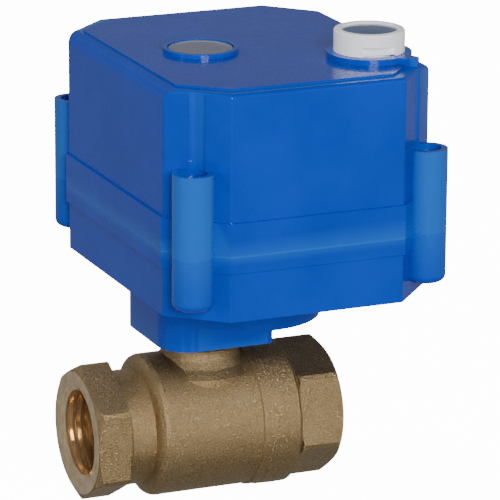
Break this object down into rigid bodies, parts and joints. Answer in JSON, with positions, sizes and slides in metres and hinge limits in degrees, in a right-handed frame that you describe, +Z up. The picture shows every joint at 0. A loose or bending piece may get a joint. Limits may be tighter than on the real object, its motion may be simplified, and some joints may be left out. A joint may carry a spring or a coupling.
{
  "type": "motorized valve actuator",
  "caption": "Brass threaded ball valve turned by a geared electric actuator in a blue housing, with position indicator and pull-up manual knob.",
  "frame": {"origin": "centre of the inlet port's mouth, on the pipe axis", "axes": "+X along the pipe from inlet to outlet, +Z up along the valve stem to the actuator, +Y to the back, where the cable enters"},
  "size_m": [0.0714, 0.0777, 0.1047],
  "materials": {
    "cast_brass": "sand-cast and shot-blasted brass",
    "machined_brass": "machined brass",
    "ball_chrome": "polished chrome plating",
    "ptfe": "white fluoroplastic",
    "stainless": "turned stainless steel",
    "zinc_steel": "zinc-plated steel",
    "blue_housing": "glossy moulded blue plastic",
    "blue_insert": "polished blue plastic",
    "white_knob": "moulded white plastic",
    "grey_indicator": "satin grey",
    "black_rubber": "nitrile rubber",
    "nylon": "natural acetal",
    "board_green": "circuit board laminate",
    "black_plastic": "black moulded plastic",
    "terminal_green": "green moulded plastic",
    "bronze": "sintered bronze"
  },
  "bodies": {
    "housing_and_valve": {"valve_body": "cast_brass", "end_cap": "cast_brass", "seat_inlet": "ptfe", "seat_outlet": "ptfe", "thrust_washer": "ptfe", "end_cap_seal": "black_rubber", "lock_washer": "zinc_steel", "mounting_nut": "machined_brass", "base_housing": "blue_housing", "top_cover": "blue_housing", "cover_gasket": "black_rubber", "cover_screws": "zinc_steel", "cable_grommet": "black_rubber", "lower_bush": "bronze", "bearing_plate": "zinc_steel", "gear_plate": "zinc_steel", "plate_pillars": "zinc_steel", "plate_screws": "zinc_steel", "gear_axles": "stainless", "upper_bush": "bronze", "motor_can": "zinc_steel", "motor_end_cap": "black_plastic", "motor_screws": "zinc_steel", "open_switch": "black_plastic", "closed_switch": "black_plastic", "circuit_board": "board_green", "board_spacers": "nylon", "board_screws": "zinc_steel", "terminal_block": "terminal_green", "terminal_screws": "zinc_steel", "relay": "black_plastic", "capacitor": "black_plastic", "guide_pin": "stainless"},
    "output": {"output_shaft": "stainless", "gear_pin": "stainless", "output_gear": "zinc_steel", "switch_cam": "nylon", "position_indicator": "grey_indicator", "indicator_o_ring": "black_rubber", "stem": "stainless", "stem_o_rings": "black_rubber", "ball": "ball_chrome"},
    "slow_gear": {"compound_gear_slow": "zinc_steel"},
    "middle_gear": {"compound_gear_middle": "nylon"},
    "fast_gear": {"compound_gear_fast": "nylon"},
    "motor_rotor": {"motor_shaft": "stainless", "motor_pinion": "machined_brass"},
    "open_plunger": {"open_button": "nylon"},
    "closed_plunger": {"closed_button": "nylon"},
    "manual_slide": {"lift_collar": "nylon", "return_spring": "stainless"},
    "manual_turner": {"manual_knob": "white_knob", "knob_insert": "blue_insert", "manual_shaft": "stainless", "manual_gear": "zinc_steel", "shaft_clips": "zinc_steel", "knob_o_ring": "black_rubber"}
  },
  "joints": [
    {"name": "output_turn", "type": "hinge", "parent": "housing_and_valve", "child": "output", "pos_m": [0.02875, 0, 0.05], "axis": [0, 0, -1], "range_deg": [0, 90]},
    {"name": "slow_gear_turn", "type": "hinge", "parent": "housing_and_valve", "child": "slow_gear", "pos_m": [0.0456, -0.00632, 0.05], "axis": [0, 0, -1], "range_deg": [-360, 0]},
    {"name": "middle_gear_turn", "type": "hinge", "parent": "housing_and_valve", "child": "middle_gear", "pos_m": [0.0586, 0.00118, 0.05], "axis": [0, 0, -1], "range_deg": [0, 1440]},
    {"name": "fast_gear_turn", "type": "hinge", "parent": "housing_and_valve", "child": "fast_gear", "pos_m": [0.05067, 0.01019, 0.05], "axis": [0, 0, -1], "range_deg": [-4320, 0]},
    {"name": "motor_turn", "type": "hinge", "parent": "housing_and_valve", "child": "motor_rotor", "pos_m": [0.04835, 0.0195, 0.05], "axis": [0, 0, -1], "range_deg": [0, 12960]},
    {"name": "open_button_travel", "type": "slide", "parent": "housing_and_valve", "child": "open_plunger", "axis": [0, 1, 0], "range_m": [0, 0.001]},
    {"name": "closed_button_travel", "type": "slide", "parent": "housing_and_valve", "child": "closed_plunger", "axis": [-1, 0, 0], "range_m": [0, 0.001]},
    {"name": "manual_lift", "type": "slide", "parent": "housing_and_valve", "child": "manual_slide", "axis": [0, 0, 1], "range_m": [0, 0.0045], "stiffness_N_per_m": 250, "springref_m": -0.005, "deforming": ["return_spring"]},
    {"name": "manual_turn", "type": "hinge", "parent": "manual_slide", "child": "manual_turner", "pos_m": [0.05995, -0.018, 0.05], "axis": [0, 0, -1], "range_deg": [0, 664.62]}
  ],
  "couplings": [
    {"joint": "slow_gear_turn", "follows": "output_turn", "ratio": -4},
    {"joint": "middle_gear_turn", "follows": "output_turn", "ratio": 16},
    {"joint": "fast_gear_turn", "follows": "output_turn", "ratio": -48},
    {"joint": "motor_turn", "follows": "output_turn", "ratio": 144},
    {"joint": "open_button_travel", "follows": "output_turn", "m_per_rad": 0.0006366},
    {"joint": "closed_button_travel", "follows": "output_turn", "m_per_rad": 0.0006366}
  ]
}
